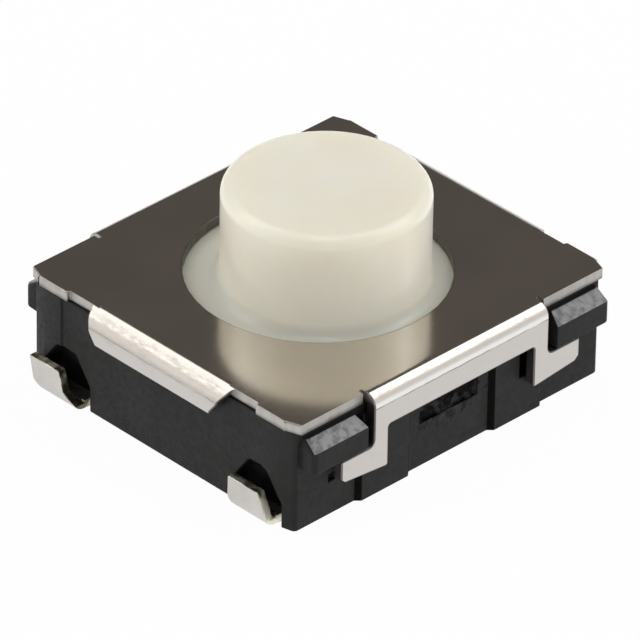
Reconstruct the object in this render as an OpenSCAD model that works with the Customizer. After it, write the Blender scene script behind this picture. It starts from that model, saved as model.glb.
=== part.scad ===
// Tactile push button switch for surface mounting: a moulded base with two inserted contact
// frames, a snap dome, a captured plunger and a folded sheet cover hooked under four lugs.
// +Z is up and the board plane is z = 0. The origin is the middle of the footprint.

/* [Housing] */
// Width of the moulding between its two strapped sides, along X
housing_wid = 5.41; // [5.2:0.01:6.2]
// Length of the moulding between its two terminal sides, along Y
housing_len = 6.18; // [5.8:0.02:7.0]
// Height of the cover's underside above the board
housing_top = 1.68; // [1.6:0.02:2.4]
// Gap between the moulding and the board
standoff = 0.01; // [0.01:0.01:0.06]
// Radius of the upright corners
corner_r = 0.08; // [0.05:0.01:0.2]
// Length and depth of the slight slope of each end face towards its corners
corner_slope = [0.28, 0.07]; // [0.04:0.01:0.4]
// Height of the well's floor above the board
floor_h = 0.44; // [0.42:0.01:0.5]
// Depth of the shallow relief behind each end tab
end_relief = 0.025; // [0.01:0.005:0.06]
// Half width of that relief
end_relief_half = 2.08; // [1.8:0.01:2.2]

/* [Lugs] */
// How far a lug stands out of the side wall
lug_reach = 0.295; // [0.28:0.005:0.45]
// Gap between a lug and the strap beside it
lug_gap = 0.145; // [0.08:0.005:0.25]
// Distance from the moulding's end to a lug's end
lug_inset = 0.15; // [0.1:0.01:0.25]
// Distance from the cover's underside to a lug's top
lug_drop = 0.11; // [0.05:0.01:0.15]
// Slope of a lug's inner and of its outer end beside the chamfer
lug_end_slope = [0.07, 0.03]; // [0.01:0.01:0.1]
// Height of a lug's outer face
lug_face_h = 0.36; // [0.25:0.01:0.42]
// Height of the chamfer above that face
lug_chamfer_h = 0.14; // [0.08:0.01:0.2]
// Depth of the chamfer
lug_chamfer = 0.21; // [0.1:0.01:0.28]
// How much lower a lug's underside lies at the wall than at its tip
lug_under_drop = 0.02; // [0:0.01:0.1]

/* [Side pads] */
// How far the pads behind the strap's legs stand out of the side wall
pad_proud = 0.075; // [0.04:0.005:0.12]
// Length of a pad's face
pad_len = 0.92; // [0.7:0.01:1.1]
// How far a pad's face reaches past its leg
pad_past_leg = 0.045; // [0.02:0.005:0.1]
// Run of the sloping ends of a pad
pad_slope = 0.08; // [0.03:0.01:0.15]
// Depth of the slot cored behind each leg
core_slot_depth = 0.16; // [0.08:0.01:0.2]
// How far that slot reaches beside its leg
core_slot_beside = 0.1; // [0.05:0.01:0.15]
// Height of its lower end above the hook's lower edge
core_slot_rise = 0.12; // [0.04:0.01:0.2]
// Length and height of the small slot behind each hook's tip
tip_slot = [0.13, 0.14]; // [0.08:0.01:0.2]
// Length and height of the recess around the moulding gate
gate_size = [1.15, 0.3]; // [0.2:0.01:1.2]
// Depth of that recess
gate_depth = 0.04; // [0.02:0.01:0.08]
// Distance from the strap's lower edge to that recess
gate_drop = 0.22; // [0.1:0.01:0.3]

/* [Cover] */
// Thickness of the cover's sheet
sheet = 0.17; // [0.1:0.01:0.2]
// Inner radius of the cover's bends
bend_r = 0.03; // [0.02:0.01:0.08]
// Outer radius of the end tabs' bends, which are pressed thinner than the sheet
tab_bend_out = 0.33; // [0.2:0.01:0.36]
// How far the top plate overhangs the strapped sides
side_overhang = 0.075; // [0.04:0.005:0.16]
// How far the top plate overhangs the terminal sides
end_overhang = 0.01; // [0:0.01:0.1]
// Diameter of the plunger's hole
hole_d = 3.9; // [3.4:0.05:4.0]
// Length and width of the cut at each plate corner
plate_corner = [0.23, 0.1]; // [0.05:0.01:0.4]
// Small step where that cut ends
plate_step = 0.015; // [0.005:0.005:0.04]
// Depth of the notches beside each tab
tab_notch = 0.07; // [0.03:0.01:0.1]
// Distance from the middle to the outer end of those notches
tab_notch_half = 1.95; // [1.7:0.01:2.2]

/* [Straps] */
// Length of a strap along its bend
strap_len = 3.47; // [3.2:0.01:3.7]
// Height of a strap's lower edge above the board
strap_low = 1.26; // [1.15:0.01:1.35]
// Width of a strap's legs
leg_wid = 0.285; // [0.2:0.005:0.35]
// Length of a hook beyond its leg
hook_len = 0.635; // [0.4:0.005:0.7]
// Height of a hook's lower edge above the board
hook_low = 0.57; // [0.5:0.01:0.7]
// Length and height of the cut under a hook's tip
hook_cut = [0.09, 0.16]; // [0.03:0.01:0.2]
// Rise of a hook's lower edge towards its tip
hook_rise = 0.08; // [0:0.01:0.12]
// Clearance between a hook and its lug
hook_clear = 0.02; // [0.01:0.005:0.04]
// Clearance between a leg and its pad
strap_clear = 0.015; // [0.01:0.005:0.05]
// Length and depth of the relief at each end of a strap's bend
strap_relief = [0.06, 0.1]; // [0.05:0.01:0.16]

/* [End tabs] */
// Width of a tab at its bend
tab_root_wid = 2.94; // [2.4:0.02:3.0]
// Width of a tab at its lower edge
tab_low_wid = 2.36; // [1.8:0.02:2.4]
// Height of a tab's lower edge above the board
tab_low = 1.39; // [1.2:0.01:1.45]
// How much narrower each side of a tab gets over its bend
tab_taper = 0.12; // [0.02:0.01:0.2]
// Height of the cut at a tab's lower corners
tab_cut = 0.19; // [0.05:0.01:0.22]
// Gap between a tab and the relief behind it
tab_gap = 0.045; // [0.03:0.005:0.14]

/* [Plunger] */
// Diameter of the plunger's cap
cap_d = 3.05; // [2.5:0.05:3.2]
// Height of the cap above the cover
cap_h = 1.43; // [0.8:0.01:2.5]
// Radius of the cap's top edge
cap_edge_r = 0.18; // [0.05:0.01:0.3]
// How far the flange reaches under the cover beyond the hole
flange_lip = 0.3; // [0.2:0.01:0.34]
// Thickness of the flange
flange_t = 0.35; // [0.25:0.01:0.45]
// Radial running clearance of the flange in its well
guide_clear = 0.13; // [0.05:0.01:0.15]
// Where the loose plunger stands from the well's middle, along X and along Y
plunger_play = [0.075, 0.075]; // [-0.08:0.005:0.08]
// Clearance above the flange and under the nub at rest
rest_clear = 0.01; // [0.01:0.005:0.02]
// Diameter of the nub that presses the dome
nub_d = 1.0; // [0.7:0.05:1.4]

/* [Snap dome] */
// Thickness of the dome's sheet
dome_t = 0.07; // [0.05:0.01:0.08]
// Radius of the dome's rim
dome_r = 1.84; // [1.7:0.01:1.95]
// Rise of the dome's underside above its rim
dome_rise = 0.25; // [0.2:0.01:0.3]
// Width of the dome across its two trimmed sides
dome_trim = 3.1; // [2.8:0.05:3.4]

/* [Contact frames] */
// Thickness of the contact frames' sheet
frame_t = 0.14; // [0.1:0.01:0.15]
// Height of the embedded plate's underside above the board
frame_low = 0.24; // [0.22:0.01:0.27]
// How far the contact bumps stand above the well's floor
bump_proud = 0.02; // [0.01:0.005:0.03]
// Radius of the four bumps under the dome's rim
rim_bump_r = 0.22; // [0.15:0.01:0.28]
// Radius of the bump under the dome's middle
centre_bump_r = 0.4; // [0.25:0.01:0.5]
// Places of the rim bumps from the middle, along X and along Y
rim_bump_at = [1.2, 1.36]; // [1.1:0.01:1.4]
// Width of the arms and of the middle tongue
arm_wid = 0.6; // [0.4:0.02:0.7]
// Distance from the moulding's end to the end of a rail
rail_inset = 0.8; // [0.7:0.01:0.9]

/* [Terminals] */
// Distance of each foot's middle line from the middle of the switch
foot_x = 1.99; // [1.9:0.01:2.1]
// Width of a foot where it leaves the moulding
foot_wid = 0.74; // [0.6:0.01:0.76]
// Width of a blade at its top
blade_wid = 0.62; // [0.5:0.01:0.7]
// Width of the outer and of the centre frame's blades just above the bend
blade_root_wid = [0.63, 0.75]; // [0.6:0.01:0.78]
// Height of the outer and of the centre frame's blades above the board
blade_h = [0.56, 0.53]; // [0.4:0.01:0.75]
// Clearance between a blade and the moulding's end
blade_gap = 0.03; // [0.02:0.01:0.2]
// Inner radius of a foot's bend
foot_bend_r = 0.06; // [0.03:0.01:0.1]
// Sideways lean of the outer and of the centre frame's blades at their tops
blade_lean = [-0.27, -0.11]; // [-0.3:0.01:0.1]
// The same just above the bend
root_lean = [-0.19, -0.05]; // [-0.2:0.01:0.1]
// Distance from the moulding's end to the step in a lead
step_inset = 0.75; // [0.6:0.01:0.78]
// Run of that step
step_run = 0.17; // [0.1:0.01:0.25]
// Height of the pocket behind a blade
pocket_h = 0.86; // [0.6:0.01:0.95]
// Height at which the pocket starts to narrow, and its width at the top
pocket_arch = [0.42, 0.36]; // [0.2:0.01:0.6]
// Radius of the pocket's upper corners
pocket_r = 0.14; // [0.05:0.01:0.2]
// Depth of the pocket
pocket_depth = 0.25; // [0.1:0.01:0.3]
// How much lower the pocket's roof is at its back
pocket_slope = 0.15; // [0:0.01:0.2]
// Clearance of the pocket on each side of a foot
pocket_side = 0.12; // [0.04:0.01:0.13]

/* [Hidden] */
$fn = 96;
over = 0.4;           // how far a cutting tool reaches past what it cuts
sheet_corner_r = 0.05;    // the cover's cut corners, seen square to the sheet
tip_corner_r = 0.03;      // a hook's upper corner
strap_corner_r = 0.1;     // the inner corner between a leg and its hook
tab_lean = 0.03;          // how much narrower each side of a tab gets between the bend and its cut
nub_edge_r = 0.08;        // the nub's lower edge
flange_edge_r = 0.03;     // the flange's edges

side_x = housing_wid/2;
end_y = housing_len/2;
cover_top = housing_top + sheet;
bend_out = bend_r + sheet;

// The strap lies over the pads, and the lugs start beside it.
strap_half = strap_len/2;
strap_x = side_x + pad_proud + strap_clear + sheet;
lug_x = side_x + lug_reach;
lug_from = strap_half + lug_gap;
lug_to = end_y - lug_inset;
lug_top = housing_top - lug_drop;
lug_edge = lug_top - lug_chamfer_h;
lug_low = lug_edge - lug_face_h;
hook_top = lug_low - lug_under_drop - hook_clear;
hook_tip = strap_half + hook_len;
leg_from = strap_half - leg_wid;
pad_to = strap_half + pad_past_leg;
pad_top = housing_top - bend_out;
tab_y = end_y - end_relief + tab_gap + sheet;

// The flange is wider than the hole and runs in the well.
flange_r = hole_d/2 + flange_lip;
well_r = flange_r + guide_clear;
flange_top = housing_top - rest_clear;
dome_seat = floor_h + bump_proud;
dome_top = dome_seat + dome_rise + dome_t;
dome_sphere_r = (dome_r*dome_r + dome_rise*dome_rise)/(2*dome_rise);
frame_top = frame_low + frame_t;
foot_bend_out = foot_bend_r + frame_t;
blade_y = end_y + blade_gap + frame_t;
foot_shoulder_h = [foot_bend_out/4, foot_bend_out/2];    // where a foot's left and right side narrow
blade_root_h = [foot_bend_out, foot_bend_out*1.3];       // where the blade's two sides begin

// Points of a closed outline given as [u, v, radius], with every corner rounded by its radius.
function unit(v) = v/norm(v);
function corner_arc(a, p, b, r, steps = 6) =
    r <= 0 ? [p] :
    let (ua = unit(a - p), ub = unit(b - p),
         half = acos(max(-1, min(1, ua*ub)))/2,
         mid = p + unit(ua + ub)*r/sin(half),
         from = p + ua*r/tan(half) - mid,
         to = p + ub*r/tan(half) - mid,
         start = atan2(from[1], from[0]),
         turn = atan2(to[1], to[0]) - start,
         sweep = turn > 180 ? turn - 360 : turn < -180 ? turn + 360 : turn)
    [for (i = [0:steps]) mid + r*[cos(start + sweep*i/steps), sin(start + sweep*i/steps)]];
function xy(p) = [p[0], p[1]];
function rounded(points) = let (n = len(points)) [
    for (i = [0:n - 1])
        each corner_arc(xy(points[(i + n - 1) % n]), xy(points[i]), xy(points[(i + 1) % n]),
                        points[i][2])];
// The mirror image of a half outline about u = 0, in the order that closes the outline.
function flip_u(points) = [for (i = [len(points) - 1:-1:0]) [-points[i][0], points[i][1], points[i][2]]];

module both_sides() { for (turn = [0, 180]) rotate(turn) children(); }
module both_ends() { for (sy = [0, 1]) mirror([0, sy, 0]) children(); }
module four_corners() { for (sx = [0, 1]) mirror([sx, 0, 0]) both_ends() children(); }

// Extrudes an outline drawn in the Y-Z plane along X, or one drawn in the X-Z plane along Y.
module along_x(from, to) { translate([from, 0, 0]) rotate([90, 0, 90]) linear_extrude(to - from) children(); }
module along_y(from, to) { translate([0, to, 0]) rotate([90, 0, 0]) linear_extrude(to - from) children(); }

// The moulding seen from above: its end faces slope back a little towards the rounded corners.
module housing_outline() {
    half = [
        [side_x, -(end_y - corner_slope[1]), corner_r],
        [side_x, end_y - corner_slope[1], corner_r],
        [side_x - corner_slope[0], end_y, 0]];
    polygon(rounded([
        [side_x - corner_slope[0], -end_y, 0], half[0], half[1], half[2],
        [-half[2][0], end_y, 0], [-side_x, half[1][1], corner_r], [-side_x, half[0][1], corner_r],
        [-half[2][0], -end_y, 0]]));
}

// Section through a fold: a short flat, the bend, and the leg down to height low.
// The outer face stands at u = face, and out is the bend's outer radius.
module fold_section(face, low, out) {
    start = face - out;
    inner = face - sheet;
    difference() {
        union() {
            translate([start - sheet, low]) square([sheet, cover_top - low]);
            translate([start, low]) square([out, cover_top - out - low]);
            translate([start, cover_top - out]) intersection() {
                circle(out);
                square(out);
            }
        }
        translate([start - 2*sheet, low - over])
            square([inner - bend_r - start + 2*sheet, housing_top - low + over]);
        translate([start, low - over]) square([inner - start, housing_top - bend_r - low + over]);
        translate([inner - bend_r, housing_top - bend_r]) circle(bend_r);
    }
}

module lug() {
    inner = side_x - corner_r;
    intersection() {
        along_y(lug_from, lug_to) polygon([
            [inner, lug_low - lug_under_drop], [side_x, lug_low - lug_under_drop],
            [lug_x, lug_low], [lug_x, lug_edge], [lug_x - lug_chamfer, lug_top], [inner, lug_top]]);
        along_x(inner, lug_x) polygon([
            [lug_from, lug_low - lug_under_drop], [lug_to, lug_low - lug_under_drop],
            [lug_to, lug_edge], [lug_to - lug_end_slope[1], lug_top],
            [lug_from + lug_end_slope[0], lug_top], [lug_from, lug_edge]]);
    }
}

module side_pad() {
    from = pad_to - pad_len;
    translate([0, 0, standoff]) linear_extrude(pad_top - standoff) polygon([
        [side_x - corner_r, from - pad_slope], [side_x, from - pad_slope], [side_x + pad_proud, from],
        [side_x + pad_proud, pad_to], [side_x, pad_to + pad_slope], [side_x - corner_r, pad_to + pad_slope]]);
}

// The slot behind a leg, and the small one behind its hook.
module core_slots() {
    low = hook_low + core_slot_rise;
    translate([side_x + pad_proud - core_slot_depth, leg_from - core_slot_beside, low])
        cube([over, leg_wid, hook_top + core_slot_beside - low]);
    translate([side_x - core_slot_depth/2, hook_tip - tip_slot[0], hook_low])
        cube([over, tip_slot[0], tip_slot[1]]);
}

module gate_recess() {
    translate([side_x - gate_depth, -gate_size[0]/2, strap_low - gate_drop - gate_size[1]])
        cube([over, gate_size[0], gate_size[1]]);
}

// The pocket behind a blade has a rounded roof that falls towards its back.
module terminal_pocket() {
    half = foot_wid/2 + pocket_side;
    back = -end_y + pocket_depth;
    translate([foot_x, 0, 0]) intersection() {
        along_x(-half, half) polygon([
            [-end_y - over, -over], [back, -over], [back, pocket_h - pocket_slope],
            [-end_y, pocket_h], [-end_y - over, pocket_h]]);
        along_y(-end_y - over, back) polygon(rounded([
            [-half, -over, 0], [half, -over, 0], [half, pocket_arch[0], pocket_r],
            [pocket_arch[1]/2, pocket_h, pocket_r], [-pocket_arch[1]/2, pocket_h, pocket_r],
            [-half, pocket_arch[0], pocket_r]]));
    }
}

module housing() color([0.16, 0.16, 0.16]) difference() {
    union() {
        translate([0, 0, standoff]) linear_extrude(housing_top - standoff) housing_outline();
        four_corners() lug();
        four_corners() side_pad();
    }
    translate([0, 0, floor_h]) cylinder(r = well_r, h = housing_top);
    four_corners() core_slots();
    four_corners() terminal_pocket();
    both_sides() gate_recess();
    both_sides() translate([-end_relief_half, end_y - end_relief, 0])
        cube([2*end_relief_half, over, housing_top + over]);
    outer_frame_shape();
    centre_frame_shape();
}

// The flat top of the cover with its corner cuts and relief notches, and the strap roots.
module plate_outline() {
    px = side_x + side_overhang;
    py = end_y + end_overhang;
    corner = [[px, py - plate_corner[1]], [px - plate_corner[0], py - plate_step],
              [px - plate_corner[0], py]];
    difference() {
        polygon([for (s = [[1, 1], [-1, 1], [-1, -1], [1, -1]])
            each [for (i = [0:2]) let (c = corner[s[0]*s[1] > 0 ? i : 2 - i]) [s[0]*c[0], s[1]*c[1]]]]);
        for (sx = [0, 1], sy = [0, 1]) mirror([sx, 0]) mirror([0, sy]) {
            translate([px - strap_relief[1], -over]) square([over, strap_half + strap_relief[0] + over]);
            translate([-over, py - tab_notch]) square([tab_notch_half + over, over]);
            translate([-over, tab_y - tab_bend_out]) square([tab_root_wid/2 - tab_taper + over, over]);
        }
    }
    square([2*(strap_x - bend_out), strap_len], center = true);
}

module top_plate() {
    translate([0, 0, housing_top]) linear_extrude(sheet) difference() {
        plate_outline();
        circle(d = hole_d);
    }
}

// A strap's outline seen from the side: a band, two legs and two hooks turned outwards.
module strap_outline() {
    half = [
        [strap_half, cover_top + over, 0],
        [strap_half, hook_top, strap_corner_r],
        [hook_tip, hook_top, tip_corner_r],
        [hook_tip, hook_low + hook_cut[1], sheet_corner_r],
        [hook_tip - hook_cut[0], hook_low + hook_rise, sheet_corner_r],
        [leg_from, hook_low, sheet_corner_r],
        [leg_from, strap_low, sheet_corner_r]];
    polygon(rounded(concat(half, flip_u(half))));
}

module strap() {
    intersection() {
        along_y(-hook_tip, hook_tip) fold_section(strap_x, hook_low - over, bend_out);
        along_x(strap_x - bend_out - sheet, strap_x + over) strap_outline();
    }
}

// An end tab's outline: it narrows from the bend to its lower edge, and its corners are cut.
module tab_outline() {
    crease = tab_root_wid/2 - tab_taper;
    half = [
        [tab_root_wid/2, cover_top + over, 0],
        [tab_root_wid/2, cover_top, 0],
        [crease, cover_top - bend_out, 0],
        [crease - tab_lean, tab_low + tab_cut, sheet_corner_r],
        [tab_low_wid/2, tab_low, sheet_corner_r]];
    polygon(rounded(concat(half, flip_u(half))));
}

module end_tab() {
    intersection() {
        rotate(90) along_y(-tab_root_wid/2, tab_root_wid/2) fold_section(tab_y, tab_low - over, tab_bend_out);
        along_y(tab_y - tab_bend_out - sheet, tab_y + over) tab_outline();
    }
}

module cover() color([0.74, 0.72, 0.69]) {
    top_plate();
    both_sides() strap();
    both_sides() end_tab();
}

module stem() color([0.89, 0.87, 0.8]) {
    top = cover_top + cap_h;
    nub_low = dome_top + rest_clear;
    translate([plunger_play[0], plunger_play[1], 0]) rotate_extrude() polygon(rounded([
        [0, nub_low, 0], [nub_d/2, nub_low, nub_edge_r], [nub_d/2, flange_top - flange_t, 0],
        [flange_r, flange_top - flange_t, flange_edge_r], [flange_r, flange_top, flange_edge_r],
        [cap_d/2, flange_top, 0], [cap_d/2, top, cap_edge_r], [0, top, 0]]));
}

module snap_dome() color([0.8, 0.78, 0.72]) intersection() {
    translate([0, 0, dome_seat + dome_rise - dome_sphere_r]) difference() {
        sphere(dome_sphere_r + dome_t, $fn = 240);
        sphere(dome_sphere_r, $fn = 240);
    }
    translate([0, 0, dome_seat]) cylinder(r = dome_r, h = dome_rise + 2*dome_t);
    translate([-dome_r, -dome_trim/2, dome_seat]) cube([2*dome_r, dome_trim, dome_rise + 2*dome_t]);
}

// A lead's section across the wall: the embedded plate steps down to the foot, and the foot
// bends up into the blade.
module lead_section() {
    step = end_y - step_inset;
    thick_run = step_run/2;
    bend = -blade_y + foot_bend_out;
    polygon([
        [-step + over, frame_low], [-step + over, frame_top], [-step - thick_run, frame_top],
        [-step - step_run - thick_run, frame_t], [bend, frame_t], [bend, 0],
        [-step - step_run, 0], [-step, frame_low]]);
    translate([bend, foot_bend_out]) intersection() {
        difference() {
            circle(foot_bend_out);
            circle(foot_bend_r);
        }
        translate([-foot_bend_out, -foot_bend_out]) square(foot_bend_out);
    }
    translate([-blade_y, foot_bend_out]) square([frame_t, over]);
}

// A lead's outline seen from its end, the foot below and the leaning blade above. The outer
// frame's leads are number 0 and the centre frame's are number 1.
module lead_outline(which) {
    foot = foot_wid/2;
    top = blade_wid/2;
    root = blade_root_wid[which]/2;
    polygon([
        [-foot, -over], [foot, -over], [foot, foot_shoulder_h[1]],
        [root_lean[which] + root, blade_root_h[1]],
        [blade_lean[which] + top, blade_h[which]], [blade_lean[which] - top, blade_h[which]],
        [root_lean[which] - root, blade_root_h[0]], [-foot, foot_shoulder_h[0]]]);
}

module lead(x, which) {
    bend = -blade_y + foot_bend_out;
    translate([x, 0, 0]) {
        intersection() {
            along_x(-foot_wid, foot_wid) lead_section();
            along_y(-blade_y, bend) lead_outline(which);
        }
        intersection() {
            along_x(-foot_wid/2, foot_wid/2) lead_section();
            translate([-foot_wid, bend, -over]) cube([2*foot_wid, end_y, 1]);
        }
    }
}

module frame_plate(from, size) {
    translate([from[0], from[1], frame_low]) cube([size[0], size[1], frame_t]);
}

module bump(x, y, r) {
    translate([x, y, frame_low]) cylinder(r = r, h = dome_seat - frame_low, $fn = 48);
}

// The rail that joins a lead of each side.
module frame_rail(x) {
    frame_plate([x - foot_wid/2, -end_y + rail_inset], [foot_wid, housing_len - 2*rail_inset]);
}

module outer_frame_shape() {
    both_ends() lead(-foot_x, 0);
    frame_rail(-foot_x);
    for (s = [-1, 1]) {
        frame_plate([-foot_x, s*rim_bump_at[1] - arm_wid/2], [foot_x + rim_bump_at[0] + rim_bump_r, arm_wid]);
        for (x = [-1, 1]) bump(x*rim_bump_at[0], s*rim_bump_at[1], rim_bump_r);
    }
}

module centre_frame_shape() {
    both_ends() lead(foot_x, 1);
    frame_rail(foot_x);
    frame_plate([-centre_bump_r, -arm_wid/2], [foot_x + centre_bump_r, arm_wid]);
    bump(0, 0, centre_bump_r);
}

module outer_contact_frame() color([0.78, 0.74, 0.62]) outer_frame_shape();

module centre_contact_frame() color([0.82, 0.8, 0.72]) centre_frame_shape();

housing();
cover();
stem();
snap_dome();
outer_contact_frame();
centre_contact_frame();
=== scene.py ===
import math

import bmesh
import bpy
from mathutils import Matrix, Vector


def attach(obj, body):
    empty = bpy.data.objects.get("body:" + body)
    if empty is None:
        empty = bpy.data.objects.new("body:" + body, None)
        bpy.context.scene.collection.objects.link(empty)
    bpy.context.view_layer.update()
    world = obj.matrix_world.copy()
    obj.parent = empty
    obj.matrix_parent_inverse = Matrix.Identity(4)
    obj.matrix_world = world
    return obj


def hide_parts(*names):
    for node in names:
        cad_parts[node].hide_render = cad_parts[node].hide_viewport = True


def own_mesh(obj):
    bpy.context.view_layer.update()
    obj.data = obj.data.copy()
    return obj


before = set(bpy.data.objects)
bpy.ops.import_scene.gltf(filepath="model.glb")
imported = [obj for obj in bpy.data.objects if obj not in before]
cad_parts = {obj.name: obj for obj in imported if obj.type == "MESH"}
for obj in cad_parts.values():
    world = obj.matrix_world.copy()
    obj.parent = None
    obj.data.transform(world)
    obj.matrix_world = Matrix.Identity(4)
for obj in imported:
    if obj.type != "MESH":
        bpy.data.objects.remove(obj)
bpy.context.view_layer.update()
scene = bpy.context.scene
mm = 0.001


def blankTree(owner):
    owner.use_nodes = True
    owner.node_tree.nodes.clear()
    return owner.node_tree


def addNode(tree, kind, values=None, **settings):
    node = tree.nodes.new(kind)
    for key, value in settings.items():
        setattr(node, key, value)
    for key, value in (values or {}).items():
        node.inputs[key].default_value = value
    return node


# Feeds a socket from another one, or sets it to a colour or a number.
def feed(tree, socket, value):
    if isinstance(value, bpy.types.NodeSocket):
        tree.links.new(value, socket)
    elif isinstance(value, tuple):
        socket.default_value = (*value, 1)
    else:
        socket.default_value = value


def calculated(tree, operation, *values):
    node = addNode(tree, "ShaderNodeMath", operation=operation)
    for socket, value in zip(node.inputs, values):
        feed(tree, socket, value)
    return node.outputs[0]


# The camera stands where the photograph was taken from, in millimetres.
camera = {
    "place": (85.8297, -84.0287, 80.0091),
    "right": (0.692979, 0.720816, 0.014315),
    "up": (-0.40469, 0.372476, 0.835157),
    "back": (0.596662, -0.58454, 0.549825),
    "lens": 562.5,
    "sensor": 36,
    "clip": (0.001, 20),      # nearest and farthest seen, in metres
}


def makeCamera():
    data = bpy.data.cameras.new("photoCamera")
    data.lens = camera["lens"]
    data.sensor_width = camera["sensor"]
    data.clip_start, data.clip_end = camera["clip"]
    obj = bpy.data.objects.new("photoCamera", data)
    scene.collection.objects.link(obj)
    turn = Matrix([Vector(camera[k]) for k in ("right", "up", "back")]).transposed().to_4x4()
    obj.matrix_world = Matrix.Translation(Vector(camera["place"]) * mm) @ turn
    scene.camera = obj


studio = {
    "fillLow": 1.78,                      # plain light on matt surfaces, from near the horizon
    "fillHigh": 0.34,                     # and from overhead
    "fillTurn": 0.45,                     # height in the sky from which it is the overhead light
    "horizon": (0.6, 0.6, 0.6),           # what polished metal sees of the room at the horizon
    "roomDark": (0.112, 0.100, 0.092),    # and above it
    "horizonTo": 0.10,
    "floorPaint": (0.85, 0.85, 0.85),
    "floorSeen": 1.0,                     # the floor's white, as the camera and metal see it
    "floorShare": 0.97,                   # how much of it hides the floor's own shading
    "floorHalf": 3.0,                     # in metres
    "floorDrop": 0.002,                   # mm below the feet
    # name, direction from the switch, long axis, distance and size in mm, brightness
    "softboxes": [
        ("rightBox", (0.22, 0.585, 0.78), (0.96, 0, -0.27), 160, (140, 66), 2.4),
        ("leftBox", (-0.594, -0.144, 0.79), (0, 0.96, 0.18), 160, (150, 60), 1.75),
        ("topBox", (0.03, -0.04, 1.0), (1, 0, 0), 170, (36, 36), 5.4),
        ("rightLow", (0.70, 0.60, 0.40), (-0.65, 0.75, 0), 200, (200, 132), 0.85),
        ("leftLow", (-0.60, -0.70, 0.42), (0.76, -0.65, 0), 200, (215, 136), 1.0),
    ],
}


# Matt surfaces get the plain fill, polished ones mirror a dim room, and the camera sees white.
def makeRoom():
    world = bpy.data.worlds.new("room")
    scene.world = world
    tree = blankTree(world)
    link = tree.links.new
    rays = addNode(tree, "ShaderNodeLightPath")
    direction = addNode(tree, "ShaderNodeTexCoord")
    parts = addNode(tree, "ShaderNodeSeparateXYZ")
    fill = addNode(tree, "ShaderNodeMapRange", {
        "From Max": studio["fillTurn"], "To Min": studio["fillLow"], "To Max": studio["fillHigh"]})
    ramp = addNode(tree, "ShaderNodeValToRGB")
    low, high = ramp.color_ramp.elements
    low.position, low.color = 0, (*studio["horizon"], 1)
    high.position, high.color = studio["horizonTo"], (*studio["roomDark"], 1)
    matt = addNode(tree, "ShaderNodeBackground", {"Color": (1, 1, 1, 1)})
    mirror = addNode(tree, "ShaderNodeBackground", {"Strength": 1})
    seen = addNode(tree, "ShaderNodeBackground", {"Color": (1, 1, 1, 1), "Strength": 1})
    unseen = addNode(tree, "ShaderNodeMixShader")
    every = addNode(tree, "ShaderNodeMixShader")
    out = addNode(tree, "ShaderNodeOutputWorld")
    link(direction.outputs["Generated"], parts.inputs[0])
    link(parts.outputs["Z"], fill.inputs["Value"])
    link(fill.outputs["Result"], matt.inputs["Strength"])
    link(parts.outputs["Z"], ramp.inputs["Fac"])
    link(ramp.outputs["Color"], mirror.inputs["Color"])
    link(rays.outputs["Is Glossy Ray"], unseen.inputs["Fac"])
    link(matt.outputs[0], unseen.inputs[1])
    link(mirror.outputs[0], unseen.inputs[2])
    link(rays.outputs["Is Camera Ray"], every.inputs["Fac"])
    link(unseen.outputs[0], every.inputs[1])
    link(seen.outputs[0], every.inputs[2])
    link(every.outputs[0], out.inputs["Surface"])


def makeFloor():
    bm = bmesh.new()
    bmesh.ops.create_grid(bm, x_segments=1, y_segments=1, size=studio["floorHalf"])
    bmesh.ops.translate(bm, vec=(0, 0, -studio["floorDrop"] * mm), verts=bm.verts)
    mesh = bpy.data.meshes.new("floor")
    bm.to_mesh(mesh)
    bm.free()
    floor = bpy.data.objects.new("floor", mesh)
    scene.collection.objects.link(floor)
    material = bpy.data.materials.new("paleFloor")
    tree = blankTree(material)
    rays = addNode(tree, "ShaderNodeLightPath").outputs
    seen = calculated(tree, "MAXIMUM", rays["Is Camera Ray"], rays["Is Glossy Ray"])
    seen = calculated(tree, "MAXIMUM", seen, rays["Is Transmission Ray"])
    paint = addNode(tree, "ShaderNodeBsdfDiffuse", {"Color": (*studio["floorPaint"], 1)})
    glow = addNode(tree, "ShaderNodeEmission", {
        "Color": (1, 1, 1, 1), "Strength": studio["floorSeen"]})
    mix = addNode(tree, "ShaderNodeMixShader")
    out = addNode(tree, "ShaderNodeOutputMaterial")
    feed(tree, mix.inputs["Fac"], calculated(tree, "MULTIPLY", seen, studio["floorShare"]))
    feed(tree, mix.inputs[1], paint.outputs[0])
    feed(tree, mix.inputs[2], glow.outputs[0])
    feed(tree, out.inputs["Surface"], mix.outputs[0])
    mesh.materials.append(material)


def makeLamps():
    for name, direction, along, distance, size, brightness in studio["softboxes"]:
        data = bpy.data.lights.new(name, "AREA")
        data.shape = "RECTANGLE"
        data.size, data.size_y = size[0] * mm, size[1] * mm
        data.energy = brightness * math.pi * data.size * data.size_y
        away = Vector(direction).normalized()
        side = Vector(along)
        side = (side - side.dot(away) * away).normalized()
        turn = Matrix((side, away.cross(side), away)).transposed().to_4x4()
        lamp = bpy.data.objects.new(name, data)
        scene.collection.objects.link(lamp)
        lamp.matrix_world = Matrix.Translation(away * distance * mm) @ turn
        lamp.visible_camera = False


makeCamera()
makeRoom()
makeFloor()
makeLamps()
print("camera, floor and lamps are in place")


# Shared effects. Each group reads Object coordinates in millimetres and puts out masks.
effects = {
    "fineNoise": {"Detail": 3.0, "Roughness": 0.6},
    "coarseNoise": {"Detail": 2.0, "Roughness": 0.5},
    "streakNoise": {"Scale": 1.0, "Detail": 2.0, "Roughness": 0.55},
    "patchNoise": {"Scale": 2.6, "Detail": 4.0, "Roughness": 0.65},
    "scuffFull": 0.42,        # noise at which a scuff is at its strongest
    "scuffReach": 0.25,       # how far below that scuffs begin, for an amount of 1
}


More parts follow.
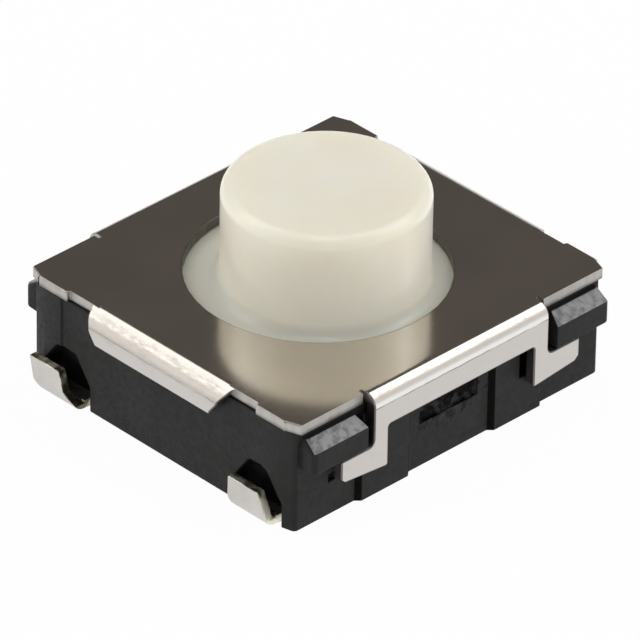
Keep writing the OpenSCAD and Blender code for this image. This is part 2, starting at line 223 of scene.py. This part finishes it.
def newGroup(name, inputs, outputs):
    group = bpy.data.node_groups.new(name, "ShaderNodeTree")
    for label, kind, value in inputs:
        socket = group.interface.new_socket(label, in_out="INPUT", socket_type=kind)
        socket.default_value = value
    for label in outputs:
        group.interface.new_socket(label, in_out="OUTPUT", socket_type="NodeSocketFloat")
    start = group.nodes.new("NodeGroupInput")
    end = group.nodes.new("NodeGroupOutput")
    return group, start, end


def placeInMillimetres(tree):
    place = addNode(tree, "ShaderNodeTexCoord")
    scaled = addNode(tree, "ShaderNodeMapping", {"Scale": (1 / mm,) * 3})
    tree.links.new(place.outputs["Object"], scaled.inputs["Vector"])
    return scaled.outputs["Vector"]


def noise(tree, place, values, scale=None, stretch=None):
    node = addNode(tree, "ShaderNodeTexNoise", values)
    if scale:
        tree.links.new(scale, node.inputs["Scale"])
    if stretch:
        stretched = addNode(tree, "ShaderNodeVectorMath", operation="MULTIPLY")
        tree.links.new(place, stretched.inputs[0])
        tree.links.new(stretch, stretched.inputs[1])
        place = stretched.outputs[0]
    tree.links.new(place, node.inputs["Vector"])
    return node.outputs["Fac"]


# Moulded or rolled grain: a fine and a coarse mask round 0.5.
def makeGrainGroup():
    group, start, end = newGroup(
        "surfaceGrain",
        [("Fine Scale", "NodeSocketFloat", 14.0), ("Coarse Scale", "NodeSocketFloat", 1.2),
         ("Stretch", "NodeSocketVector", (1, 1, 1))],
        ["Fine", "Coarse"])
    place, given = placeInMillimetres(group), start.outputs
    feed(group, end.inputs["Fine"],
         noise(group, place, effects["fineNoise"], given["Fine Scale"], given["Stretch"]))
    feed(group, end.inputs["Coarse"],
         noise(group, place, effects["coarseNoise"], given["Coarse Scale"]))
    return group


# Handling scuffs: short streaks and rubbed patches.
def makeScuffGroup():
    group, start, end = newGroup(
        "handlingScuffs",
        [("Amount", "NodeSocketFloat", 0.5), ("Streak", "NodeSocketVector", (3, 30, 30))],
        ["Mask"])
    place, given = placeInMillimetres(group), start.outputs
    streaks = noise(group, place, effects["streakNoise"], stretch=given["Streak"])
    patches = noise(group, place, effects["patchNoise"])
    reach = calculated(group, "MULTIPLY", given["Amount"], effects["scuffReach"])
    spread = addNode(group, "ShaderNodeMapRange", {"From Max": effects["scuffFull"]})
    feed(group, spread.inputs["Value"], calculated(group, "MULTIPLY", streaks, patches))
    feed(group, spread.inputs["From Min"],
         calculated(group, "SUBTRACT", effects["scuffFull"], reach))
    feed(group, end.inputs["Mask"], spread.outputs["Result"])
    return group


surfaceGrain = makeGrainGroup()
handlingScuffs = makeScuffGroup()


def placeGroup(tree, group, values):
    node = addNode(tree, "ShaderNodeGroup", node_tree=group)
    for key, value in values.items():
        node.inputs[key].default_value = value
    return node.outputs


def grained(tree, fineScale, coarseScale=1.2, stretch=(1, 1, 1)):
    masks = placeGroup(tree, surfaceGrain, {
        "Fine Scale": fineScale, "Coarse Scale": coarseScale, "Stretch": stretch})
    return masks["Fine"], masks["Coarse"]


def axesOf(tree):
    parts = addNode(tree, "ShaderNodeSeparateXYZ")
    tree.links.new(placeInMillimetres(tree), parts.inputs[0])
    return parts.outputs


# Spreads part of a mask over a new range. Noise lies mostly within the part that is preset.
def mapped(tree, source, low, high, fromLow=0.35, fromHigh=0.65):
    node = addNode(tree, "ShaderNodeMapRange", {
        "From Min": fromLow, "From Max": fromHigh, "To Min": low, "To Max": high})
    tree.links.new(source, node.inputs["Value"])
    return node.outputs["Result"]


def blended(tree, mask, first, second, kind="RGBA"):
    node = addNode(tree, "ShaderNodeMix", data_type=kind)
    for key, value in (("Factor", mask), ("A", first), ("B", second)):
        feed(tree, node.inputs[key], value)
    return node.outputs["Result"]


def bumped(tree, skin, height, strength, depth):
    node = addNode(tree, "ShaderNodeBump", {"Strength": strength, "Distance": depth * mm})
    tree.links.new(height, node.inputs["Height"])
    tree.links.new(node.outputs["Normal"], skin.inputs["Normal"])


# The fine grain varies the roughness and stands out as a bump.
def roughened(tree, skin, fine, look):
    tree.links.new(mapped(tree, fine, *look["rough"]), skin.inputs["Roughness"])
    bumped(tree, skin, fine, *look["bump"])


def startMaterial(name, colour, roughness, metallic=0.0, shine=0.5, **sockets):
    material = bpy.data.materials.new(name)
    tree = blankTree(material)
    skin = addNode(tree, "ShaderNodeBsdfPrincipled", {
        "Base Color": (*colour, 1), "Roughness": roughness, "Metallic": metallic,
        "Specular IOR Level": shine, **sockets})
    out = addNode(tree, "ShaderNodeOutputMaterial")
    tree.links.new(skin.outputs[0], out.inputs["Surface"])
    return material, tree, skin


# In every finish "grain" holds the scale of the fine and of the coarse noise and its stretch,
# "rough" the roughness from and to, and "bump" the bump's strength and its depth in mm.
sheetLooks = {
    "clean": (0.66, 0.615, 0.565),
    "dull": (0.60, 0.56, 0.51),
    "wall": (0.60, 0.57, 0.54),       # the straps and tabs below their bends, painted darker than the top as painted shade
    "crease": (0.24, 0.225, 0.21),    # painted shade: a thin dark line along the crease that the bending tool left
    "highlightBand": (0.86, 0.84, 0.81),    # and a painted highlight on the band above it on the straps
    "grain": (26.0, 0.7, (1, 0.12, 1)),
    "scuffs": {"Amount": 0.9, "Streak": (9, 9, 40)},
    "rolledRough": (0.13, 0.16),      # on the flat top
    "bentRough": (0.28, 0.46),        # and where the sheet is bent
    "bump": (0.012, 0.003),
    "bentBelow": (1.80, 1.848),       # z over which the scuffs of bending fade out
    "flatAbove": (1.69, 1.76),        # z over which the flat top's colour comes in
    "unevenGrain": (5.0, 2.2),
    "creaseHeight": 1.628,
    "creaseWaver": 0.03,              # mm that the line wanders
    "creaseHalf": (0.003, 0.014),     # mm from its middle over which it fades
    "creaseBreaks": (0.25, 1, 0.38, 0.56),
    "creaseOnTabs": 0.55,             # its share there, against 1 on the straps
    "highlightBandFrom": (-0.006, 0.010),   # mm above the line over which the wall ends
    "strapsFrom": (1.8, 2.4),         # |x| between the tabs and the straps
}


# Bright rolled sheet: the flat top is nearly a mirror and the folds are scuffed. Below the bends
# the sheet carries painted shade and a painted dark line at the crease, and on the straps a
# painted highlight above that line.
def makeCoverSteel():
    look = sheetLooks
    material, tree, skin = startMaterial("coverSteel", look["clean"], 0.14, 1.0)
    fine, coarse = grained(tree, *look["grain"])
    uneven, patchy = grained(tree, *look["unevenGrain"])
    place = axesOf(tree)
    scuffs = placeGroup(tree, handlingScuffs, look["scuffs"])["Mask"]
    rolled = mapped(tree, fine, *look["rolledRough"])
    bent = mapped(tree, scuffs, *look["bentRough"], 0, 1)
    fold = mapped(tree, place["Z"], 1, 0, *look["bentBelow"])
    feed(tree, skin.inputs["Roughness"], blended(tree, fold, rolled, bent, "FLOAT"))
    # A wavering dark line of painted shade runs along the crease below the bends.
    wavering = calculated(tree, "MULTIPLY_ADD", uneven, look["creaseWaver"], place["Z"])
    above = calculated(tree, "SUBTRACT", wavering, look["creaseHeight"] + look["creaseWaver"] / 2)
    outward = calculated(tree, "ABSOLUTE", place["X"])
    line = mapped(tree, calculated(tree, "ABSOLUTE", above), 1, 0, *look["creaseHalf"])
    depth = mapped(tree, outward, look["creaseOnTabs"], 1, *look["strapsFrom"])
    line = calculated(tree, "MULTIPLY", line, depth)
    line = calculated(tree, "MULTIPLY", line, mapped(tree, patchy, *look["creaseBreaks"]))
    # On the straps the band above the crease line is painted near white, as a painted highlight.
    onStrap = mapped(tree, outward, 0, 1, *look["strapsFrom"])
    band = blended(tree, onStrap, look["clean"], look["highlightBand"])
    folded = blended(tree, mapped(tree, above, 0, 1, *look["highlightBandFrom"]), look["wall"], band)
    folded = blended(tree, line, folded, look["crease"])
    flat = blended(tree, mapped(tree, coarse, 0, 1), look["clean"], look["dull"])
    upper = mapped(tree, place["Z"], 0, 1, *look["flatAbove"])
    feed(tree, skin.inputs["Base Color"], blended(tree, upper, folded, flat))
    bumped(tree, skin, fine, *look["bump"])
    return material


cutLooks = {
    "sheared": (0.50, 0.48, 0.455),   # the upper part of a cut edge
    "broken": (0.16, 0.15, 0.14),     # its lower part, where the sheet tore
    "tearHeight": (1.68, 1.75),
    "tearWaver": 0.08,
    "grain": (12.0, 3.0, (1, 1, 0.2)),
    "rough": (0.38, 0.56),
    "bump": (0.35, 0.008),
}


def makeCutSteel():
    look = cutLooks
    material, tree, skin = startMaterial("cutSteel", look["sheared"], 0.45, 1.0)
    fine, coarse = grained(tree, *look["grain"])
    waver = calculated(
        tree, "MULTIPLY_ADD", coarse, look["tearWaver"], -look["tearWaver"] / 2)
    height = calculated(tree, "ADD", axesOf(tree)["Z"], waver)
    upper = mapped(tree, height, 0, 1, *look["tearHeight"])
    feed(tree, skin.inputs["Base Color"], blended(tree, upper, look["broken"], look["sheared"]))
    roughened(tree, skin, fine, look)
    return material


boreLooks = {
    "colour": (0.15, 0.14, 0.125),
    "grain": (16.0, 1.2, (1, 1, 0.2)),
    "rough": (0.42, 0.6),
    "bump": (0.3, 0.006),
}


# The wall of the hole is painted dark, as painted shade, because it stands in the plunger's shade.
def makeBoreSteel():
    material, tree, skin = startMaterial("shadedBoreSteel", boreLooks["colour"], 0.5, 1.0)
    fine, _ = grained(tree, *boreLooks["grain"])
    roughened(tree, skin, fine, boreLooks)
    return material


domeLooks = {
    "colour": (0.66, 0.615, 0.565),
    "grain": (20.0, 1.0, (0.2, 1, 1)),
    "rough": (0.18, 0.3),
    "bump": (0.15, 0.004),
}


def makeDomeSteel():
    material, tree, skin = startMaterial("domeSteel", domeLooks["colour"], 0.22, 1.0)
    fine, _ = grained(tree, *domeLooks["grain"])
    roughened(tree, skin, fine, domeLooks)
    return material


tornLooks = {
    "dark": (0.002, 0.0017, 0.0017),
    "pale": (0.035, 0.035, 0.038),
    "grain": (14.0, 5.5),
    "paleFrom": (0.52, 0.66),         # coarse noise over which the pale spots come in
    "rough": (0.45, 0.9),
    "bump": (1.0, 0.06),
    "shine": 0.07,
}


# Where the moulding was fed: rough, with dark pits and a few pale torn spots.
def makeTornPlastic():
    look = tornLooks
    material, tree, skin = startMaterial("tornPlastic", look["dark"], 0.7, shine=look["shine"])
    fine, coarse = grained(tree, *look["grain"])
    spots = mapped(tree, coarse, 0, 1, *look["paleFrom"])
    feed(tree, skin.inputs["Base Color"], blended(tree, spots, look["dark"], look["pale"]))
    feed(tree, skin.inputs["Roughness"], mapped(tree, fine, *look["rough"]))
    bumped(tree, skin, coarse, *look["bump"])
    return material


mouldLooks = {
    "dark": (0.0185, 0.0183, 0.0178),
    "pale": (0.0245, 0.024, 0.0235),
    "grain": (11.0, 1.4),
    "rough": (0.36, 0.56),
    "bump": (0.35, 0.006),
    "shine": 0.12,
    "scarMiddle": (0, 0, 0.86),       # a ragged patch round the feed of the moulding
    "scarSpread": (0, 1 / 0.62, 1 / 0.30),    # 1 over its half width and half height
    "scarGrain": (7.0, 5.0),
    "scarRagged": 2.2,                # how much the noise moves its edge
    "scarEdge": (1.9, 2.15),          # noise and distance over which it fades
    "scarDepth": 0.95,
    "scarPale": (0.50, 0.66),         # coarse noise over which its pale spots come in
}


# Fine matt moulding, torn on the long walls round the feed.
def makeBlackPlastic():
    look = mouldLooks
    material, tree, skin = startMaterial("blackPlastic", look["dark"], 0.45, shine=look["shine"])
    fine, coarse = grained(tree, *look["grain"])
    ragged, patchy = grained(tree, *look["scarGrain"])
    moved = addNode(tree, "ShaderNodeVectorMath", {1: look["scarMiddle"]}, operation="SUBTRACT")
    spread = addNode(tree, "ShaderNodeVectorMath", {1: look["scarSpread"]}, operation="MULTIPLY")
    away = addNode(tree, "ShaderNodeVectorMath", operation="LENGTH")
    feed(tree, moved.inputs[0], placeInMillimetres(tree))
    feed(tree, spread.inputs[0], moved.outputs[0])
    feed(tree, away.inputs[0], spread.outputs[0])
    edge = calculated(tree, "MULTIPLY_ADD", ragged, look["scarRagged"], away.outputs["Value"])
    scar = mapped(tree, edge, look["scarDepth"], 0, *look["scarEdge"])
    sound = blended(tree, mapped(tree, coarse, 0, 1), look["dark"], look["pale"])
    torn = blended(tree, mapped(tree, patchy, 0, 1, *look["scarPale"]),
                   tornLooks["dark"], tornLooks["pale"])
    feed(tree, skin.inputs["Base Color"], blended(tree, scar, sound, torn))
    roughened(tree, skin, fine, look)
    return material


facetLooks = {
    "pale": (0.26, 0.26, 0.268),
    "dark": (0.125, 0.125, 0.13),
    "mottling": (0.36, 0.6),          # coarse noise from dark to pale
    "grain": (22.0, 9.0),
    "rough": (0.28, 0.48),
    "bump": (0.5, 0.01),
}


# The lugs' chamfers are greyer and mottled.
def makeFacetPlastic():
    look = facetLooks
    material, tree, skin = startMaterial("facetPlastic", look["pale"], 0.36)
    fine, coarse = grained(tree, *look["grain"])
    mottled = mapped(tree, coarse, 0, 1, *look["mottling"])
    feed(tree, skin.inputs["Base Color"], blended(tree, mottled, look["dark"], look["pale"]))
    roughened(tree, skin, fine, look)
    return material


grooveLooks = {
    "colour": (0.004, 0.004, 0.0035),
    "grain": (11.0, 3.0),
    "rough": (0.7, 0.9),
    "bump": (0.4, 0.008),
    "shine": 0.08,
}


# The slots and the slanting sides of the pads are painted black as painted shade, because they lie
# in the shade of the straps.
def makeGroovePlastic():
    look = grooveLooks
    material, tree, skin = startMaterial("grooveShadePlastic", look["colour"], 0.8, shine=look["shine"])
    fine, _ = grained(tree, *look["grain"])
    roughened(tree, skin, fine, look)
    return material


pocketLooks = {
    "low": (0.004, 0.004, 0.0035),
    "roof": (0.028, 0.027, 0.026),
    "rise": (0.45, 0.86),             # z from the painted black shade to the roof's colour
    "grain": (11.0, 3.0),
    "rough": (0.6, 0.8),
    "bump": (0.4, 0.008),
    "shine": 0.08,
}


# The pockets behind the blades are painted black below as painted shade, and this fades into the
# wall at their roof.
def makePocketPlastic():
    look = pocketLooks
    material, tree, skin = startMaterial("pocketShadePlastic", look["low"], 0.7, shine=look["shine"])
    fine, _ = grained(tree, *look["grain"])
    rise = mapped(tree, axesOf(tree)["Z"], 0, 1, *look["rise"])
    feed(tree, skin.inputs["Base Color"], blended(tree, rise, look["low"], look["roof"]))
    roughened(tree, skin, fine, look)
    return material


ivoryLooks = {
    "body": (0.86, 0.825, 0.715),
    "warm": (0.84, 0.795, 0.67),
    "flange": (0.73, 0.715, 0.62),
    "flangeBelow": (1.67, 1.80),      # z over which the flange's painted shade ends
    "grain": (7.0, 0.8),
    "rough": (0.30, 0.42),
    "bump": (0.12, 0.006),
    "milky": 0.7,                     # share of the light that goes inside
    "depth": 0.45,                    # mm that it travels there
    "scatter": (1.0, 0.85, 0.55),     # share of that for red, green and blue
    "polish": 0.5,                    # a smooth skin over the grain
    "polishRough": 0.16,
}


# Smooth ivory moulding that lets a little light in. The flange under the cover is painted greyer
# as painted shade from the cover.
def makeIvoryPlastic():
    look = ivoryLooks
    material, tree, skin = startMaterial("ivoryPlastic", look["body"], 0.36, **{
        "Subsurface Weight": look["milky"], "Subsurface Radius": look["scatter"],
        "Subsurface Scale": look["depth"] * mm, "Coat Weight": look["polish"],
        "Coat Roughness": look["polishRough"]})
    fine, coarse = grained(tree, *look["grain"])
    # Below the cover the flange takes a greyer colour, as painted shade.
    height = mapped(tree, axesOf(tree)["Z"], 0, 1, *look["flangeBelow"])
    button = blended(tree, mapped(tree, coarse, 0, 1), look["body"], look["warm"])
    feed(tree, skin.inputs["Base Color"], blended(tree, height, look["flange"], button))
    roughened(tree, skin, fine, look)
    return material


tinLooks = {
    "bright": (0.63, 0.605, 0.57),
    "dull": (0.55, 0.53, 0.50),
    "grain": (12.0, 2.0),
    "rough": (0.26, 0.42),
    "bump": (0.2, 0.006),
}


def makeTinPlate():
    look = tinLooks
    material, tree, skin = startMaterial("tinPlate", look["bright"], 0.3, 1.0)
    fine, coarse = grained(tree, *look["grain"])
    feed(tree, skin.inputs["Base Color"],
         blended(tree, mapped(tree, coarse, 0, 1), look["bright"], look["dull"]))
    roughened(tree, skin, fine, look)
    return material


brassLooks = {
    "dark": (0.17, 0.155, 0.095),
    "pale": (0.88, 0.86, 0.71),       # a painted highlight on the cut
    "highlightGain": (0, 0.2, 2.05, 2.34),    # what the painted highlight gains from one x to another, on the right side of the right-hand lead
    "highlightGainFrom": (0.44, 0.58),        # coarse noise and gain over which it comes in
    "grain": (8.0, 3.5, (1, 1, 0.4)),
    "rough": (0.35, 0.55),
    "bump": (0.5, 0.012),
}


def makeBareBrass():
    look = brassLooks
    material, tree, skin = startMaterial("bareBrass", look["dark"], 0.45, 1.0)
    fine, coarse = grained(tree, *look["grain"])
    # Beyond x 2.05 the cut's side wall turns pale as a painted highlight.
    gain = mapped(tree, axesOf(tree)["X"], *look["highlightGain"])
    highlightGained = mapped(tree, calculated(tree, "ADD", gain, coarse), 0, 1, *look["highlightGainFrom"])
    feed(tree, skin.inputs["Base Color"], blended(tree, highlightGained, look["dark"], look["pale"]))
    roughened(tree, skin, fine, look)
    return material


coverSteel = makeCoverSteel()
cutSteel = makeCutSteel()
shadedBoreSteel = makeBoreSteel()
domeSteel = makeDomeSteel()
blackPlastic = makeBlackPlastic()
facetPlastic = makeFacetPlastic()
grooveShadePlastic = makeGroovePlastic()
pocketShadePlastic = makePocketPlastic()
tornPlastic = makeTornPlastic()
ivoryPlastic = makeIvoryPlastic()
tinPlate = makeTinPlate()
bareBrass = makeBareBrass()
print("materials are ready")


meshing = {
    "weld": 0.0005,           # mm within which a node's points are one
    "flatAngle": 0.6,         # degrees within which its triangles are one flat
    "softenAbove": 38,        # degrees of turn from which an edge is softened
    "softenSteps": 2,
    "smoothBelow": 50,        # degrees within which faces shade into each other
}


# A node's mesh is loose triangles, so its copy is merged and its flats are joined again.
def startFromNode(name):
    bm = bmesh.new()
    bm.from_mesh(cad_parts[name].data)
    bmesh.ops.scale(bm, vec=(1 / mm,) * 3, verts=bm.verts)
    bmesh.ops.remove_doubles(bm, verts=bm.verts, dist=meshing["weld"])
    bmesh.ops.dissolve_limit(bm, angle_limit=math.radians(meshing["flatAngle"]),
                             verts=bm.verts, edges=bm.edges, delimit={"NORMAL"})
    return bm


# The narrow faces that a bevel makes are marked, so that they take their shading from the flats.
def bevelEdges(bm, edges, width, segments):
    rounded = bm.faces.layers.int.get("rounded") or bm.faces.layers.int.new("rounded")
    made = bmesh.ops.bevel(bm, geom=edges, offset=width, offset_type="OFFSET", segments=segments,
                           profile=0.5, affect="EDGES", clamp_overlap=False, loop_slide=False,
                           material=-1)
    for face in made["faces"]:
        face[rounded] = 1


def softenEdges(bm, width, skip=None):
    least = math.radians(meshing["softenAbove"])
    edges = [e for e in bm.edges if len(e.link_faces) == 2 and e.calc_face_angle(0) > least
             and not (skip and any(skip(v.co) for v in e.verts))]
    bevelEdges(bm, edges, width, meshing["softenSteps"])


# Every corner is shaded by the flats and folds that meet there, and the bevels blend between them.
def shadeByFlats(mesh):
    limit = math.cos(math.radians(meshing["smoothBelow"]))
    rounded = [False] * len(mesh.polygons)
    if "rounded" in mesh.attributes:
        rounded = [bool(a.value) for a in mesh.attributes["rounded"].data]
    around = [[] for _ in mesh.vertices]
    for face in mesh.polygons:
        for v in face.vertices:
            around[v].append((face.normal.copy(), face.area, rounded[face.index]))
    corners = []
    for face in mesh.polygons:
        for v in face.vertices:
            near = [f for f in around[v] if f[0].dot(face.normal) > limit]
            chosen = [f for f in near if not f[2]] or near
            corners.append(sum((f[0] * f[1] for f in chosen), Vector()).normalized())
    mesh.normals_split_custom_set(corners)


def paintFaces(bm, index, test):
    for face in bm.faces:
        if test(face.calc_center_median(), face.normal):
            face.material_index = index


def finishPiece(bm, name, body, nodes, materials):
    bmesh.ops.scale(bm, vec=(mm,) * 3, verts=bm.verts)
    mesh = bpy.data.meshes.new(name)
    bm.to_mesh(mesh)
    bm.free()
    mesh.shade_smooth()
    shadeByFlats(mesh)
    for material in materials:
        mesh.materials.append(material)
    piece = bpy.data.objects.new(name, mesh)
    scene.collection.objects.link(piece)
    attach(piece, body)
    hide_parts(*nodes)
    return piece


plunger = {
    "middle": (0.075, 0.075),     # it stands a little off the hole's middle
    "capRadius": 1.525,
    "top": 3.28,
    "topEdge": 0.18,
    "footFillet": 0.18,
    "flangeRadius": 2.25,
    "flangeTop": 1.67,
    "flangeLow": 1.32,
    "flangeEdge": 0.03,
    "nubRadius": 0.5,
    "nubLow": 0.79,
    "nubEdge": 0.08,
    "steps": 192,
    "weld": 0.001,
    "near": 0.005,                # mm within which a point is on a ring
}


def makePlunger():
    p = plunger
    bm = bmesh.new()
    corners = [(0, p["nubLow"]), (p["nubRadius"], p["nubLow"]), (p["nubRadius"], p["flangeLow"]),
               (p["flangeRadius"], p["flangeLow"]), (p["flangeRadius"], p["flangeTop"]),
               (p["capRadius"], p["flangeTop"]), (p["capRadius"], p["top"]), (0, p["top"])]
    line = [bm.verts.new((x, 0, z)) for x, z in corners]
    for a, b in zip(line, line[1:]):
        bm.edges.new((a, b))
    bmesh.ops.spin(bm, geom=bm.verts[:] + bm.edges[:], cent=(0, 0, 0), axis=(0, 0, 1),
                   angle=math.tau, steps=p["steps"], use_merge=True, use_duplicate=False)
    bmesh.ops.remove_doubles(bm, verts=bm.verts, dist=p["weld"])
    bmesh.ops.recalc_face_normals(bm, faces=bm.faces)

    def ring(radius, height):
        return [e for e in bm.edges if all(
            abs(math.hypot(v.co.x, v.co.y) - radius) < p["near"]
            and abs(v.co.z - height) < p["near"] for v in e.verts)]

    for radius, height, edge, segments in [
            ("capRadius", "top", "topEdge", 9), ("capRadius", "flangeTop", "footFillet", 5),
            ("flangeRadius", "flangeTop", "flangeEdge", 3),
            ("flangeRadius", "flangeLow", "flangeEdge", 3), ("nubRadius", "nubLow", "nubEdge", 4)]:
        bevelEdges(bm, ring(p[radius], p[height]), p[edge], segments)
    bmesh.ops.translate(bm, vec=(*p["middle"], 0), verts=bm.verts)
    finishPiece(bm, "ivoryPlunger", "plunger", ["stem"], [ivoryPlastic])


base = {
    "edge": 0.016,
    "lugEdge": 0.09,          # the lugs' outer corners are rounder
    "lugEdgeSteps": 4,
    "lugEnd": (2.75, 2.88, 0.95, 1.75),         # |x| from, |y| from, z from, to
    "lugEndTurn": (0.3, 0.8, 0.5),    # its faces: one along y, one across it, one of them outer
    "facetFrom": 1.8,         # lug chamfers start beyond this |y|
    "facetTurn": (0.45, 0.6),         # and turn at least this far outwards and upwards
    "padOut": 2.715,          # |x| past which the pads' sides slant
    "padTurn": (0.55, 0.85, 0.5, 0.85),         # outwards from, to, sideways from, to
    "pocket": (1.44, 2.53, 2.82, 3.062, 0.9),   # |x| from, to, |y| from, to, z to
    "gate": (0.6, 2.64, 2.69, 0.72, 1.06),      # |y| to, |x| from, to, z from, to
    "slot": (1.30, 1.68, 2.60, 2.775, 0.66, 1.16),    # |y| from, to, |x| from, to, z from, to
}


# In these tests c is a face's middle and n its normal.
def isFacet(c, n):
    outwards, upwards = base["facetTurn"]
    return abs(c.y) > base["facetFrom"] and abs(n.x) > outwards and n.z > upwards


def isPocket(c, n):
    xLow, xHigh, yLow, yHigh, zHigh = base["pocket"]
    return xLow < abs(c.x) < xHigh and yLow < abs(c.y) < yHigh and c.z < zHigh


def isGate(c, n):
    yHigh, xLow, xHigh, zLow, zHigh = base["gate"]
    return abs(c.y) < yHigh and xLow < abs(c.x) < xHigh and zLow < c.z < zHigh


def isSlot(c, n):
    yLow, yHigh, xLow, xHigh, zLow, zHigh = base["slot"]
    return yLow < abs(c.y) < yHigh and xLow < abs(c.x) < xHigh and zLow < c.z < zHigh


def isPadSide(c, n):
    xLow, xHigh, yLow, yHigh = base["padTurn"]
    return xLow < abs(n.x) < xHigh and yLow < abs(n.y) < yHigh and abs(c.x) > base["padOut"]


# The edges where a lug's outer face and its chamfer meet the lug's outer end.
def isLugEnd(edge):
    xLow, yLow, zLow, zHigh = base["lugEnd"]
    if len(edge.link_faces) != 2 or any(
            abs(v.co.x) < xLow or abs(v.co.y) < yLow or not zLow < v.co.z < zHigh
            for v in edge.verts):
        return False
    along, across, outwards = base["lugEndTurn"]
    least, most = sorted(abs(f.normal.y) for f in edge.link_faces)
    outer = [f for f in edge.link_faces if abs(f.normal.x) > outwards]
    return least < along and most > across and len(outer) == 1


def makeHousing():
    bm = startFromNode("housing")
    # The numbers count the materials below.
    # The pockets, slots and pads' slanting sides are painted black as painted shade.
    for index, test in ((1, isFacet), (3, isPocket), (4, isGate), (2, isSlot), (2, isPadSide)):
        paintFaces(bm, index, test)
    bevelEdges(bm, [e for e in bm.edges if isLugEnd(e)], base["lugEdge"], base["lugEdgeSteps"])
    softenEdges(bm, base["edge"])
    finishPiece(bm, "mouldedBase", "base", ["housing"],
                [blackPlastic, facetPlastic, grooveShadePlastic, pocketShadePlastic, tornPlastic])


cover = {
    "edge": 0.024,
    "tabHalf": 1.48,          # |x| within which the end tabs lie
    "tabFrom": 2.945,         # |y| past which they are
    "strapFrom": 2.765,       # |x| past which the sheet is bent down
    "strapTo": 1.8,           # |y| that the straps reach at their bends
    "hookTo": 2.4,            # and that their hooks reach
    "hookBelow": 1.6,         # below this z
    "legBelow": 1.5,          # z below which a strap's level faces are cut
    "holeTo": 2.1,            # within this lies the hole's wall
    "level": 0.95,            # a face that is more level than this is the sheet's own
    "cut": 0.3,               # a strap's or tab's face that turns this far is cut
    "tabUnder": -0.6,         # and so is a tab's face that turns this far down
    "ledge": (1.33, 1.52, 2.9, 3.04, 1.8),    # |x| from, to, |y| from, to, z from
    "slit": (2.6, 2.79, 1.72, 1.81),          # |x| from, to, |y| from, to
}


# Beside each tab and strap the plate ends in a thin ledge or a narrow slit, too small to soften.
def tooFine(place):
    x, y = abs(place.x), abs(place.y)
    xLow, xHigh, yLow, yHigh, zLow = cover["ledge"]
    onLedge = xLow < x < xHigh and yLow < y < yHigh and place.z > zLow
    xLow, xHigh, yLow, yHigh = cover["slit"]
    return onLedge or (xLow < x < xHigh and yLow < y < yHigh)


def isBore(c, n):
    return abs(n.z) < cover["level"] and math.hypot(c.x, c.y) < cover["holeTo"]


def isCutEdge(c, n):
    cut = cover["cut"]
    if abs(c.y) > cover["tabFrom"] and abs(c.x) < cover["tabHalf"]:
        return abs(n.x) > cut or n.z < cover["tabUnder"]
    reach = cover["strapTo"] if c.z > cover["hookBelow"] else cover["hookTo"]
    if abs(c.x) > cover["strapFrom"] and abs(c.y) < reach:
        return abs(n.y) > cut or (abs(n.z) > cut and c.z < cover["legBelow"])
    return abs(n.z) < cover["level"] and math.hypot(c.x, c.y) > cover["holeTo"]


def makeCover():
    bm = startFromNode("cover")
    softenEdges(bm, cover["edge"], skip=tooFine)
    paintFaces(bm, 1, isCutEdge)
    paintFaces(bm, 2, isBore)
    finishPiece(bm, "foldedCover", "base", ["cover"],
                [coverSteel, cutSteel, shadedBoreSteel])


def makeDome():
    bm = startFromNode("snap_dome")
    piece = finishPiece(bm, "snapDisc", "base", ["snap_dome"], [domeSteel])
    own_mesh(piece)


contacts = {
    "edge": 0.018,
    "hiddenTo": 2.7,          # |y| within which the base hides the frames
    "bladeFrom": 0.45,        # z over which a level face is a blade's cut top
    "cut": 0.5,               # a face that turns this far along x, or up, is cut
    "names": [("outer_contact_frame", "outerContact"), ("centre_contact_frame", "centreContact")],
}


def isHidden(place):
    return abs(place.y) < contacts["hiddenTo"]


def isBareCut(c, n):
    cut = contacts["cut"]
    return abs(n.x) > cut or (n.z > cut and c.z > contacts["bladeFrom"])


def makeContacts():
    for node, name in contacts["names"]:
        bm = startFromNode(node)
        softenEdges(bm, contacts["edge"], skip=isHidden)
        paintFaces(bm, 1, isBareCut)
        finishPiece(bm, name, "base", [node], [tinPlate, bareBrass])


makePlunger()
makeHousing()
makeCover()
makeDome()
makeContacts()
print("all pieces are made")

scene.view_settings.view_transform = "Standard"
